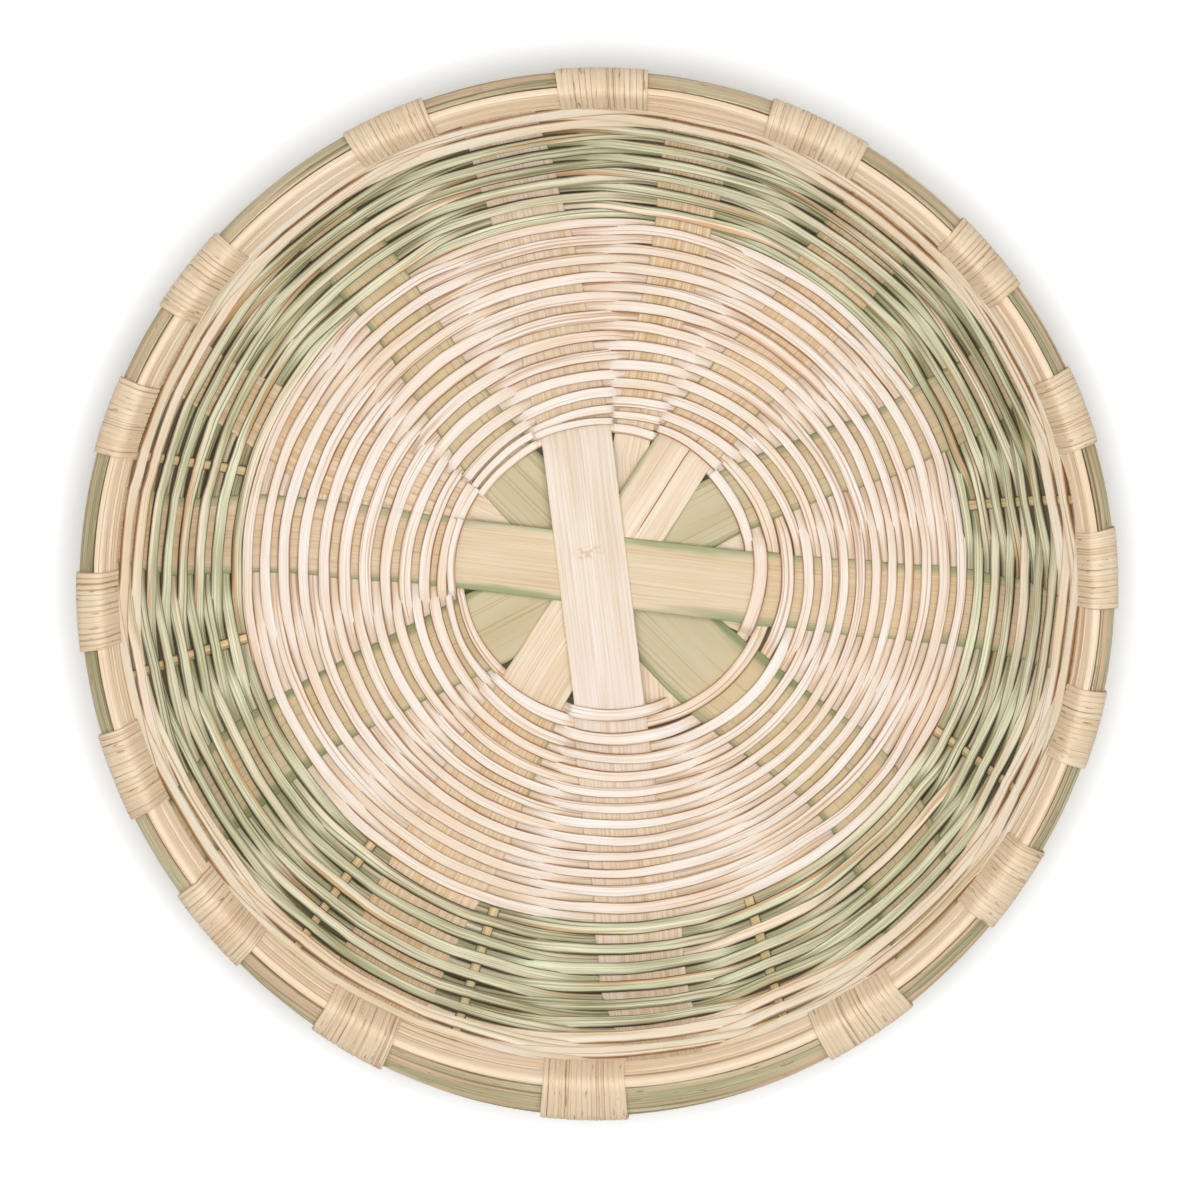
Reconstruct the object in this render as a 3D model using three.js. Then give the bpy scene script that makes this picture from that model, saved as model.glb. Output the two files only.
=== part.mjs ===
import * as THREE from 'three';

// Shallow round bamboo basket standing on z = 0, in millimetres, +Z up.
// Angles are in degrees, counter-clockwise from +X as seen from above.

// Outline of the basket
const RIM_RADIUS = 167.7;
const BASE_SHARE = 0.7037;
const FOOT_BEND_RADIUS = 30;
const FOOT_BEND_ANGLE = 40;
const RIM_SLOPE = 66;
const RIM_BAND = 11.5;

// The base of a handmade basket sits a little off the middle of its rim and is not quite round
const BASE_SHIFT_X = 2.3;
const BASE_SHIFT_Y = 5.8;
const RIM_SHIFT_X = -1;
const RIM_SHIFT_Y = 2;
const BASE_OVAL = 0.017;
const RIM_OVAL = 0.001;

// Strips
const SLAT_WIDTH = 26;
const SLAT_THICKNESS = 0.8;
const STAKE_WIDTH = 4.6;
const WEAVER_WIDTH = 2.4;
const WEAVER_THICKNESS = 0.9;
const INNER_HOOP_THICKNESS = 1.8;
const OUTER_HOOP_THICKNESS = 6.2;
const OUTER_HOOP_LAP = 1.05;
const CANE_WIDTH = 1.35;
const CANE_HEIGHT = 0.7;

// Clearances
const WEAVE_GAP = 0.45;
const STACK_GAP = 0.35;
const EDGE_GAP = 0.6;
const HOOP_GAP = 0.6;
const CANE_GAP = 0.5;
const CANE_CLEARANCE = 0.45;
const ROW_TO_RIM = 2.1;
const TIP_GAP = 1.5;
const SHORT_TIP_GAP = 0.4;

// Crossings, counted along each weave, at which one weaver ends under a slat and the next begins
const BASE_SPLIT_COUNTS = [0, 64, 134, 202, 264];
const WALL_SPLIT_COUNTS = [0, 28, 56, 86, 110, 138, 176];
const BORDER_SPLIT_COUNTS = [176, 208, 240];

const HOOP_STEPS = 56;
const RADIANS = Math.PI / 180;
const PALE_CANE = 0xecd6ba;
const STRAW = 0xdfc79c;
const SAGE = 0xb4b88f;
const OLIVE = 0x9ba27a;
const BINDING_TAN = 0xdcbf93;

const baseRadius = RIM_RADIUS * BASE_SHARE;
const halfSlat = SLAT_THICKNESS / 2;
const weaveOffset = halfSlat + WEAVE_GAP + WEAVER_THICKNESS / 2;
const stackStep = SLAT_THICKNESS + STACK_GAP;
const crossingRadius = SLAT_WIDTH * 1.82;
const levelEndRadius = crossingRadius + (baseRadius - crossingRadius) * 0.5;
const middleHeight = weaveOffset + WEAVER_THICKNESS / 2;

const sine = (angle) => Math.sin(angle * RADIANS);
const cosine = (angle) => Math.cos(angle * RADIANS);

// Arc lengths run up the wall from the edge of the flat base
const footEnd = FOOT_BEND_RADIUS * FOOT_BEND_ANGLE * RADIANS;
const footRun = FOOT_BEND_RADIUS * sine(FOOT_BEND_ANGLE);
const footRise = FOOT_BEND_RADIUS * (1 - cosine(FOOT_BEND_ANGLE));
const rimRun = RIM_BAND * cosine(RIM_SLOPE);
const wallRun = RIM_RADIUS - baseRadius - footRun - rimRun;
const wallBendRadius = wallRun / (sine(RIM_SLOPE) - sine(FOOT_BEND_ANGLE));
const wallRise = wallBendRadius * (cosine(FOOT_BEND_ANGLE) - cosine(RIM_SLOPE));
const wallEnd = footEnd + wallBendRadius * (RIM_SLOPE - FOOT_BEND_ANGLE) * RADIANS;
const slatTop = wallEnd + RIM_BAND - TIP_GAP;
const shortSlatTop = wallEnd - ROW_TO_RIM - SHORT_TIP_GAP;

// Section through the basket along one spoke: radius, height and slope at an arc length
function profile(arc) {
  if (arc <= 0) {
    return { radius: baseRadius + arc, height: middleHeight, slope: 0 };
  }
  if (arc <= footEnd) {
    const slope = arc / FOOT_BEND_RADIUS;
    return {
      radius: baseRadius + FOOT_BEND_RADIUS * Math.sin(slope),
      height: middleHeight + FOOT_BEND_RADIUS * (1 - Math.cos(slope)),
      slope,
    };
  }
  if (arc <= wallEnd) {
    const slope = FOOT_BEND_ANGLE * RADIANS + (arc - footEnd) / wallBendRadius;
    const across = wallBendRadius * (Math.sin(slope) - sine(FOOT_BEND_ANGLE));
    const rise = wallBendRadius * (cosine(FOOT_BEND_ANGLE) - Math.cos(slope));
    return {
      radius: baseRadius + footRun + across,
      height: middleHeight + footRise + rise,
      slope,
    };
  }
  const beyond = arc - wallEnd;
  return {
    radius: baseRadius + footRun + wallRun + beyond * cosine(RIM_SLOPE),
    height: middleHeight + footRise + wallRise + beyond * sine(RIM_SLOPE),
    slope: RIM_SLOPE * RADIANS,
  };
}

// Point on the basket at an arc length and angle, moved inward and up by an offset
function place(arc, angle, offset) {
  const { radius, height, slope } = profile(arc);
  const reach = radius - offset * Math.sin(slope);
  const climb = Math.max(0, (radius - baseRadius) / (RIM_RADIUS - baseRadius));
  const oval = BASE_OVAL + (RIM_OVAL - BASE_OVAL) * climb;
  return new THREE.Vector3(
    BASE_SHIFT_X * (1 - climb) + RIM_SHIFT_X * climb + reach * (1 + oval) * cosine(angle),
    BASE_SHIFT_Y * (1 - climb) + RIM_SHIFT_Y * climb + reach * (1 - oval) * sine(angle),
    height + offset * Math.cos(slope),
  );
}

// Joins rings of corners into one closed body that faces out
function joinRings(rings, isLoop) {
  const corners = rings.flat();
  const sides = rings[0].length;
  const faces = [];
  const spans = isLoop ? rings.length : rings.length - 1;
  for (let span = 0; span < spans; span += 1) {
    const here = span * sides;
    const next = ((span + 1) % rings.length) * sides;
    for (let side = 0; side < sides; side += 1) {
      const after = (side + 1) % sides;
      faces.push([here + side, next + side, next + after]);
      faces.push([here + side, next + after, here + after]);
    }
  }
  if (!isLoop) {
    const last = (rings.length - 1) * sides;
    for (let side = 1; side < sides - 1; side += 1) {
      faces.push([0, side, side + 1]);
      faces.push([last, last + side + 1, last + side]);
    }
  }
  let volume = 0;
  faces.forEach(([a, b, c]) => {
    volume += corners[a].dot(new THREE.Vector3().crossVectors(corners[b], corners[c]));
  });
  const outward = volume > 0 ? faces : faces.map(([a, b, c]) => [a, c, b]);
  const geometry = new THREE.BufferGeometry();
  const positions = corners.flatMap((corner) => [corner.x, corner.y, corner.z]);
  geometry.setAttribute('position', new THREE.Float32BufferAttribute(positions, 3));
  geometry.setIndex(outward.flat());
  geometry.computeVertexNormals();
  return geometry;
}

const basket = new THREE.Group();
basket.name = 'bamboo_basket';

function addPiece(name, geometry, color) {
  const material = new THREE.MeshStandardMaterial({ color, roughness: 0.7, metalness: 0 });
  const piece = new THREE.Mesh(geometry, material);
  piece.name = name;
  basket.add(piece);
}

// Spokes: middle angle and share of the slat width where the weaving starts, near the edge of
// the base, half way up the wall and under the rim. Level is the place in the stack at the middle.
const stationRadii = [
  crossingRadius,
  baseRadius * 0.88,
  (baseRadius + RIM_RADIUS) / 2,
  RIM_RADIUS - rimRun,
];

function spoke(level, angles, shares, top = slatTop) {
  return { level, angles, widths: shares.map((share) => share * SLAT_WIDTH), top };
}

const RIGHT = spoke(3, [-7.5, -6.5, -5.8, -6.6], [0.93, 1.04, 1.03, 0.92]);
const LEFT = spoke(3, [173.5, 173.5, 174.5, 172.3], [0.86, 1.04, 1.04, 1]);
const BACK = spoke(4, [102.5, 102, 101.8, 102], [0.9, 0.97, 0.98, 0.96]);
const FRONT = spoke(4, [271, 274.4, 275.7, 278.2], [0.93, 1.09, 1.15, 0.96]);
const BACK_RIGHT = spoke(2, [58, 52.75, 52.6, 52.1], [0.83, 1, 1.12, 1.12]);
const FRONT_LEFT = spoke(2, [239.75, 242, 241.9, 241.9], [0.88, 1.3, 1.3, 1.3], shortSlatTop);
const RIGHT_BACK = spoke(1, [29.2, 25, 26.5, 29.1], [0.79, 0.9, 1, 0.7]);
const LEFT_FRONT = spoke(1, [207, 207.5, 208.9, 211.2], [0.93, 0.97, 1.12, 0.92]);
const BACK_LEFT = spoke(0, [134, 128.75, 127.2, 127.5], [0.82, 0.8, 0.92, 0.92]);
const FRONT_RIGHT = spoke(0, [314.5, 318.25, 316, 313.2], [1.13, 1.21, 1.3, 1.08]);
const HALF_BACK = spoke(1, [79.3, 77.75, 77.7, 77.5], [0.35, 0.65, 0.85, 0.85]);
const HALF_BACK_TAIL = spoke(-1, [288, 288, 288, 288], [0.5, 0.5, 0.5, 0.5]);
const HALF_LEFT = spoke(1, [154.5, 156.9, 153.3, 151.2], [0.29, 1.1, 0.77, 0.77]);

function thinStake(angle, top = slatTop) {
  const share = STAKE_WIDTH / SLAT_WIDTH;
  return spoke(0, [angle, angle, angle, angle], [share, share, share, share], top);
}

const STAKES = {
  right: thinStake(10.5),
  left_back: thinStake(164, shortSlatTop),
  left: thinStake(191),
  front_left: thinStake(230.4),
  front: thinStake(252.4),
  front_right: thinStake(293),
  right_front: thinStake(333.5),
};

// Straight-line reading of a list given at the station radii
function atRadius(values, radius) {
  const last = stationRadii.length - 2;
  let span = 0;
  while (span < last && radius > stationRadii[span + 1]) {
    span += 1;
  }
  const part = (radius - stationRadii[span]) / (stationRadii[span + 1] - stationRadii[span]);
  const held = Math.min(1, Math.max(0, part));
  return values[span] + (values[span + 1] - values[span]) * held;
}

// Angles of the two edges of a spoke, and its rise above the base, at an arc length
function spokeAt(member, arc) {
  const { radius } = profile(arc);
  const middle = atRadius(member.angles, radius);
  const half = Math.asin(atRadius(member.widths, radius) / 2 / radius) / RADIANS;
  const fall = (radius - crossingRadius) / (levelEndRadius - crossingRadius);
  const share = 1 - Math.min(1, Math.max(0, fall));
  const rise = member.level * stackStep * share;
  return { from: middle - half, to: middle + half, middle, rise, radius };
}

function evenSteps(from, to, count) {
  return Array.from({ length: count + 1 }, (_, step) => from + ((to - from) * step) / count);
}

const crossingArc = crossingRadius - baseRadius;
const levelEndArc = levelEndRadius - baseRadius;
const baseArcs = [...evenSteps(crossingArc, levelEndArc, 2), 0];
const footArcs = evenSteps(0, footEnd, 4).slice(1);
const wallArcs = evenSteps(footEnd, shortSlatTop, 5).slice(1);

function slatRings(member, arcs) {
  return arcs.map((arc) => {
    const { from, to, rise } = spokeAt(member, arc);
    return [
      place(arc, from, rise - halfSlat),
      place(arc, to, rise - halfSlat),
      place(arc, to, rise + halfSlat),
      place(arc, from, rise + halfSlat),
    ];
  });
}

function spokeArcs(member) {
  const arcs = [...baseArcs, ...footArcs, ...wallArcs];
  return member.top > wallEnd ? [...arcs, wallEnd, member.top] : arcs;
}

// Rings beyond the middle of the basket, with their corners in the order of the near side
function farSide(rings) {
  return rings.map(([a, b, c, d]) => [b, a, d, c]);
}

// A full slat runs down one wall, across the crossing and up the opposite wall
function addSlat(name, near, far, color) {
  const nearRings = slatRings(near, spokeArcs(near));
  const farRings = farSide(slatRings(far, spokeArcs(far)));
  addPiece(name, joinRings([...nearRings.reverse(), ...farRings], false), color);
}

addSlat('cross_slat_top', BACK, FRONT, STRAW);
addSlat('cross_slat_second', RIGHT, LEFT, STRAW);
addSlat('diagonal_slat_pale', BACK_RIGHT, FRONT_LEFT, STRAW);
addSlat('diagonal_slat_green', RIGHT_BACK, LEFT_FRONT, SAGE);
addSlat('diagonal_slat_bottom', BACK_LEFT, FRONT_RIGHT, SAGE);

// A half slat has one end in the wall and the other end under the crossing
function addHalfSlat(name, member, innerRings) {
  const rings = [...innerRings, ...slatRings(member, spokeArcs(member))];
  addPiece(name, joinRings(rings, false), PALE_CANE);
}

// The back half slat passes below the whole crossing, and the left one is only tucked into it
addHalfSlat('half_slat_back', HALF_BACK, [
  ...farSide(slatRings(HALF_BACK_TAIL, [crossingArc - WEAVER_WIDTH / 2])),
  ...slatRings({ ...HALF_BACK, level: HALF_BACK_TAIL.level }, [crossingArc - SLAT_WIDTH / 2]),
]);
addHalfSlat('half_slat_left', HALF_LEFT, slatRings(HALF_LEFT, [crossingArc - SLAT_WIDTH / 5]));

// Weaving: each unit is the spokes that a weaver passes on one side before it crosses over
const baseUnits = [
  [RIGHT], [RIGHT_BACK], [BACK_RIGHT], [HALF_BACK], [BACK], [BACK_LEFT],
  [HALF_LEFT, LEFT], [LEFT_FRONT], [FRONT_LEFT], [FRONT], [FRONT_RIGHT],
];
const wallUnits = [
  [RIGHT], [STAKES.right], [RIGHT_BACK], [BACK_RIGHT], [HALF_BACK], [BACK], [BACK_LEFT],
  [HALF_LEFT, STAKES.left_back, LEFT], [STAKES.left], [LEFT_FRONT],
  [STAKES.front_left, FRONT_LEFT, STAKES.front], [FRONT], [STAKES.front_right],
  [FRONT_RIGHT], [STAKES.right_front],
];

const baseRows = BASE_SPLIT_COUNTS.at(-1) / baseUnits.length;
const wallRows = BORDER_SPLIT_COUNTS.at(-1) / wallUnits.length;
const weaveStart = crossingArc + WEAVER_WIDTH / 2;
const colourChange = baseRadius * 0.045;
const weaveEnd = wallEnd - ROW_TO_RIM - WEAVER_WIDTH / 2;
const basePitch = (colourChange - weaveStart) / baseRows;
const wallPitch = (weaveEnd - colourChange) / wallRows;
const firstAngle = RIGHT.angles[1];

function baseArc(turns) {
  return weaveStart + basePitch * turns;
}

function wallArc(turns) {
  return colourChange + wallPitch * turns;
}

// Thin stakes start in the first row of the wall that passes them
Object.entries(STAKES).forEach(([place_name, stake]) => {
  const start = wallArc((stake.angles[0] - firstAngle) / 360) - WEAVER_WIDTH / 2;
  const arcs = [start, ...spokeArcs(stake).filter((arc) => arc > start + 1)];
  addPiece(`thin_stake_${place_name}`, joinRings(slatRings(stake, arcs), false), STRAW);
});

// One crossing: the weaver lies flat over or under every spoke of the unit
function crossingPoints(units, crossing, arcAt) {
  const turn = Math.floor(crossing / units.length);
  const side = crossing % 2 === 0 ? -1 : 1;
  const points = [];
  units[crossing % units.length].forEach((member) => {
    const near = arcAt(turn + (member.angles[1] - firstAngle) / 360);
    const { from, to, rise } = spokeAt(member, near);
    [from, to].forEach((angle) => {
      const arc = arcAt(turn + (angle - firstAngle) / 360);
      points.push({ angle, arc, offset: rise + side * weaveOffset });
    });
  });
  const margin = EDGE_GAP / profile(points[0].arc).radius / RADIANS;
  points[0].angle -= margin;
  points.at(-1).angle += margin;
  return points;
}

// The end of a weaver lies in the middle of the slat that hides it
function endPoint(points, shift) {
  const middle = { ...points[0] };
  const turn = (EDGE_GAP / profile(middle.arc).radius / RADIANS) * shift;
  middle.angle = (points[0].angle + points[1].angle) / 2 + turn;
  middle.arc = (points[0].arc + points[1].arc) / 2;
  return middle;
}

function addWeavers(name, units, splits, arcAt, color) {
  splits.slice(1).forEach((end, count) => {
    const start = splits[count];
    const first = crossingPoints(units, start, arcAt);
    const last = crossingPoints(units, end, arcAt);
    const path = [endPoint(first, 1), first.at(-1)];
    for (let crossing = start + 1; crossing < end; crossing += 1) {
      path.push(...crossingPoints(units, crossing, arcAt));
    }
    path.push(last[0], endPoint(last, -1));
    const half = WEAVER_WIDTH / 2;
    const thin = WEAVER_THICKNESS / 2;
    const rings = path.map(({ angle, arc, offset }) => [
      place(arc - half, angle, offset - thin),
      place(arc + half, angle, offset - thin),
      place(arc + half, angle, offset + thin),
      place(arc - half, angle, offset + thin),
    ]);
    addPiece(`${name}_${count + 1}`, joinRings(rings, false), color);
  });
}

addWeavers('base_weaver', baseUnits, BASE_SPLIT_COUNTS, baseArc, PALE_CANE);
addWeavers('wall_weaver', wallUnits, WALL_SPLIT_COUNTS, wallArc, SAGE);
addWeavers('border_weaver', wallUnits, BORDER_SPLIT_COUNTS, wallArc, PALE_CANE);

// Rim: corners are given as height along the wall above its woven part, and offset inward
const innerFace = halfSlat + HOOP_GAP;
const innerLimit = innerFace + INNER_HOOP_THICKNESS;
const stripHeight = (RIM_BAND - STACK_GAP) / 2;
const outerRounding = RIM_BAND * 0.2;

// The ends of the outer hoop lap over each other at the front, where it is thickest
function outerThickness(angle) {
  return OUTER_HOOP_THICKNESS * (1 + OUTER_HOOP_LAP * Math.max(0, -sine(angle)) ** 4);
}

function addHoop(name, cornersAt, color) {
  const angles = evenSteps(0, 360, HOOP_STEPS).slice(1);
  const rings = angles.map((angle) => (
    cornersAt(angle).map(([along, offset]) => place(wallEnd + along, angle, offset))
  ));
  addPiece(name, joinRings(rings, true), color);
}

function stripCorners(bottom) {
  return [
    [bottom, innerFace],
    [bottom + stripHeight, innerFace],
    [bottom + stripHeight, innerLimit],
    [bottom, innerLimit],
  ];
}

function outerCorners(angle) {
  const thick = outerThickness(angle);
  return [
    [0, -innerFace],
    [RIM_BAND, -innerFace],
    [RIM_BAND - outerRounding, -innerFace - thick],
    [outerRounding, -innerFace - thick],
  ];
}

addHoop('inner_hoop_lower', () => stripCorners(0), STRAW);
addHoop('inner_hoop_upper', () => stripCorners(stripHeight + STACK_GAP), STRAW);
addHoop('outer_hoop', outerCorners, OLIVE);

// Rim bindings: middle angle and number of turns of each
const BINDINGS = [
  [2.5, 14], [21, 14], [40.8, 15], [64.5, 18], [89.5, 16], [114.2, 15], [141.6, 16], [160, 14],
  [182.3, 14], [201.3, 16], [221.2, 16], [241.4, 14], [268.6, 15], [301.7, 17], [324.3, 16],
  [344.2, 14],
];
const canePitch = (CANE_WIDTH + CANE_GAP) / RIM_RADIUS / RADIANS;
const caneHalf = CANE_WIDTH / 2 / RIM_RADIUS / RADIANS;

// Corners that one turn of cane bends round, each with the direction that faces out of the turn
function turnCorners(angle) {
  const inner = innerLimit + CANE_CLEARANCE;
  const outer = -innerFace - outerThickness(angle) - CANE_CLEARANCE;
  const upper = RIM_BAND - outerRounding * 0.25;
  return [
    { along: -CANE_CLEARANCE * 2, offset: inner, out: [-1, 1] },
    { along: RIM_BAND + CANE_CLEARANCE * 2, offset: inner, out: [1, 1] },
    { along: upper, offset: outer, out: [0.7, -1] },
    { along: RIM_BAND - upper, offset: outer, out: [-0.7, -1] },
  ];
}

let leastCaneGap = Infinity;

function addBinding(name, middle, turns) {
  const rings = [];
  const path = [];
  const perTurn = turnCorners(middle).length;
  for (let step = 0; step <= turns * perTurn; step += 1) {
    const angle = middle + canePitch * (step / perTurn - turns / 2);
    const { along, offset, out } = turnCorners(angle)[step % perTurn];
    const arc = wallEnd + along;
    const ridge = place(arc + out[0] * CANE_HEIGHT, angle, offset + out[1] * CANE_HEIGHT);
    rings.push([
      place(arc, angle - caneHalf, offset),
      place(arc, angle + caneHalf, offset),
      ridge,
    ]);
    path.push(rings.at(-1));
  }
  for (let step = perTurn; step < path.length; step += 1) {
    leastCaneGap = Math.min(leastCaneGap, path[step][0].distanceTo(path[step - perTurn][1]));
  }
  addPiece(name, joinRings(rings, false), BINDING_TAN);
}

BINDINGS.forEach(([middle, turns], count) => {
  addBinding(`rim_binding_${String(count + 1).padStart(2, '0')}`, middle, turns);
});
console.log(`least gap between turns of cane ${leastCaneGap.toFixed(2)} mm`);

// The box of the whole basket is centred over the origin
basket.updateMatrixWorld(true);
const middleOfBox = new THREE.Box3().setFromObject(basket).getCenter(new THREE.Vector3());
basket.children.forEach((piece) => piece.geometry.translate(-middleOfBox.x, -middleOfBox.y, 0));

export default basket;
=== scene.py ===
"""Looks of the bamboo basket: every slat, strand, hoop and binding in metres on the CAD frame."""
import math

import bpy
import numpy as np
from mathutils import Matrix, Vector


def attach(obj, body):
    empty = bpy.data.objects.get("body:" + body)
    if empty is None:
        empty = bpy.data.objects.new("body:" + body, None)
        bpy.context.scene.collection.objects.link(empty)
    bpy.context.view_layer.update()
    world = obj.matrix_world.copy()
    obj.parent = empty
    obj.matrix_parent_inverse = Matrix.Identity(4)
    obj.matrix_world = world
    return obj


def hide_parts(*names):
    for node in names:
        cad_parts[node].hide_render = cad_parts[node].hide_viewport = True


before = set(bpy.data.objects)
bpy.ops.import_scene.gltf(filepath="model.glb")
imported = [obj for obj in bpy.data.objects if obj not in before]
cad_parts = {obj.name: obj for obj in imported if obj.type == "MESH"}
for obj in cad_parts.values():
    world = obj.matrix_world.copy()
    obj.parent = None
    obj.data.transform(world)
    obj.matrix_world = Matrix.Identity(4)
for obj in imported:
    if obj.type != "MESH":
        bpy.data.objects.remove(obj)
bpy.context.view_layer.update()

# Shape of the basket in millimetres and degrees, as in the CAD source
MM = 0.001
BOX_SHIFT = (0.9987, 0.9681, 0.0)
RIM_RADIUS = 167.7
BASE_RADIUS = RIM_RADIUS * 0.7037
FOOT_BEND_RADIUS = 30.0
FOOT_BEND = math.radians(40)
RIM_SLOPE = math.radians(66)
RIM_BAND = 11.5
BASE_SHIFT = (2.3, 5.8)
RIM_SHIFT = (-1.0, 2.0)
BASE_OVAL = 0.017
RIM_OVAL = 0.001
SLAT_WIDTH = 26.0
SLAT_THICKNESS = 0.8
STACK_STEP = 0.9
MIDDLE_HEIGHT = 1.75

HALF_SLAT = SLAT_THICKNESS / 2
CROSSING_RADIUS = SLAT_WIDTH * 1.82
CROSSING_ARC = CROSSING_RADIUS - BASE_RADIUS
LEVEL_END_RADIUS = CROSSING_RADIUS + 16.0
FOOT_END = FOOT_BEND_RADIUS * FOOT_BEND
FOOT_RUN = FOOT_BEND_RADIUS * math.sin(FOOT_BEND)
RIM_RUN = RIM_BAND * math.cos(RIM_SLOPE)
WALL_BEND_RADIUS = (RIM_RADIUS - BASE_RADIUS - FOOT_RUN - RIM_RUN) / (
    math.sin(RIM_SLOPE) - math.sin(FOOT_BEND)
)
WALL_END = FOOT_END + WALL_BEND_RADIUS * (RIM_SLOPE - FOOT_BEND)
SLAT_TOP = WALL_END + RIM_BAND - 1.5
SHORT_TOP = WALL_END - 2.5
STATION_RADII = [
    CROSSING_RADIUS,
    BASE_RADIUS * 0.88,
    (BASE_RADIUS + RIM_RADIUS) / 2,
    RIM_RADIUS - RIM_RUN,
]


def profile(arc):
    """Radius, height and slope of the basket's section at arc lengths from the edge of the base."""
    foot = np.clip(arc, 0, FOOT_END) / FOOT_BEND_RADIUS
    wall = FOOT_BEND + np.clip(arc - FOOT_END, 0, WALL_END - FOOT_END) / WALL_BEND_RADIUS
    beyond = np.maximum(arc - WALL_END, 0)
    radius = (
        BASE_RADIUS + np.minimum(arc, 0) + FOOT_BEND_RADIUS * np.sin(foot)
        + WALL_BEND_RADIUS * (np.sin(wall) - math.sin(FOOT_BEND)) + beyond * math.cos(RIM_SLOPE)
    )
    height = (
        MIDDLE_HEIGHT + FOOT_BEND_RADIUS * (1 - np.cos(foot))
        + WALL_BEND_RADIUS * (math.cos(FOOT_BEND) - np.cos(wall)) + beyond * math.sin(RIM_SLOPE)
    )
    return radius, height, foot + wall - FOOT_BEND


def place(arc, angle, offset):
    """Points in metres at an arc length, an angle in degrees and an offset inward and up."""
    arc, angle, offset = np.broadcast_arrays(arc, np.radians(angle), offset)
    radius, height, slope = profile(arc)
    reach = radius - offset * np.sin(slope)
    climb = np.maximum(0, (radius - BASE_RADIUS) / (RIM_RADIUS - BASE_RADIUS))
    oval = BASE_OVAL + (RIM_OVAL - BASE_OVAL) * climb
    shift_x, shift_y = (base + (rim - base) * climb for base, rim in zip(BASE_SHIFT, RIM_SHIFT))
    x = shift_x + reach * (1 + oval) * np.cos(angle)
    y = shift_y + reach * (1 - oval) * np.sin(angle)
    z = height + offset * np.cos(slope)
    return (np.stack([x, y, z], axis=-1) + BOX_SHIFT) * MM


# Waves that add up to a waver, as shares of the longest one, and the height they reach together
WAVE_SHARES = (1.0, 0.61, 0.37, 0.23)
WAVE_REACH = 1.6


def waver(lengths, wavelength, seed):
    """Smooth seeded variation between about -1 and 1 along a length in millimetres."""
    rng = np.random.default_rng(seed)
    total = np.zeros_like(lengths, dtype=float)
    for share in WAVE_SHARES:
        phase = rng.uniform(0, 2 * math.pi)
        stretch = rng.uniform(0.8, 1.25)
        total += share * np.sin(2 * math.pi * lengths / (wavelength * share * stretch) + phase)
    return total / WAVE_REACH


def change(kind, lengths, seed):
    """Seeded variation of one kind, which is its size and its wavelength in millimetres."""
    size, wavelength = kind
    return size * waver(lengths, wavelength, seed)


def smoothstep(low, high, value):
    part = np.clip((value - low) / (high - low), 0, 1)
    return part * part * (3 - 2 * part)


def path_lengths(points):
    """Distance in millimetres along a row of points in metres."""
    steps = np.linalg.norm(np.diff(points, axis=0), axis=1)
    return np.concatenate([[0], np.cumsum(steps)]) / MM


# Meshes: a tube is a grid of rings, each point with a place on the unrolled strip
def add_piece(name, rings, grain, vary, material, is_loop=False, sharp=60):
    """One tube of rings as a piece that stands for the CAD node of the same name.

    grain is the place on the unrolled strip in metres: along, across and through it.
    vary is the tone of the strip, its share of a second colour and the nearness to its edge. Both tone
    and edge carry painted shade on some pieces.
    """
    count, sides = rings.shape[:2]
    spans = count if is_loop else count - 1
    here = (np.arange(spans) * sides)[:, None]
    ahead = ((np.arange(spans) + 1) % count * sides)[:, None]
    side = np.arange(sides)[None, :]
    after = (side + 1) % sides
    quads = np.stack([here + side, here + after, ahead + after, ahead + side], axis=-1)
    faces = quads.reshape(-1, 4).tolist()
    if not is_loop:
        faces.append(list(range(sides))[::-1])
        faces.append(list(range((count - 1) * sides, count * sides)))
    mesh = bpy.data.meshes.new(name + "_look")
    mesh.from_pydata(rings.reshape(-1, 3).tolist(), [], faces)
    for label, values in (("grain", grain), ("vary", vary)):
        layer = mesh.attributes.new(label, "FLOAT_VECTOR", "POINT")
        layer.data.foreach_set("vector", np.asarray(values, np.float32).ravel())
    mesh.polygons.foreach_set("use_smooth", [True] * len(mesh.polygons))
    mesh.set_sharp_from_angle(angle=math.radians(sharp))
    mesh.materials.append(material)
    turn_outward(mesh)
    piece = bpy.data.objects.new(name + "_look", mesh)
    bpy.context.scene.collection.objects.link(piece)
    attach(piece, "root")
    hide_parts(name)


def turn_outward(mesh):
    """Flips every face if the closed body is inside out."""
    mesh.calc_loop_triangles()
    corners = np.zeros(len(mesh.vertices) * 3)
    mesh.vertices.foreach_get("co", corners)
    corners = corners.reshape(-1, 3)
    index = np.zeros(len(mesh.loop_triangles) * 3, dtype=np.int32)
    mesh.loop_triangles.foreach_get("vertices", index)
    a, b, c = (corners[index[step::3]] for step in range(3))
    if np.einsum("ij,ij->", a, np.cross(b, c)) < 0:
        mesh.flip_normals()


# Materials
def srgb(red, green, blue):
    """Linear colour of an 8-bit screen colour."""
    parts = [value / 255 for value in (red, green, blue)]
    return (*(p / 12.92 if p <= 0.04045 else ((p + 0.055) / 1.055) ** 2.4 for p in parts), 1.0)


def shown_background(tree):
    """1 for the rays that show the background, which are camera rays and mirrored ones."""
    path = tree.nodes.new("ShaderNodeLightPath")
    shown = path.outputs["Is Camera Ray"]
    for name in ("Is Glossy Ray", "Is Transmission Ray"):
        either = tree.nodes.new("ShaderNodeMath")
        either.operation = "MAXIMUM"
        tree.links.new(shown, either.inputs[0])
        tree.links.new(path.outputs[name], either.inputs[1])
        shown = either.outputs["Value"]
    return shown


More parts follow.
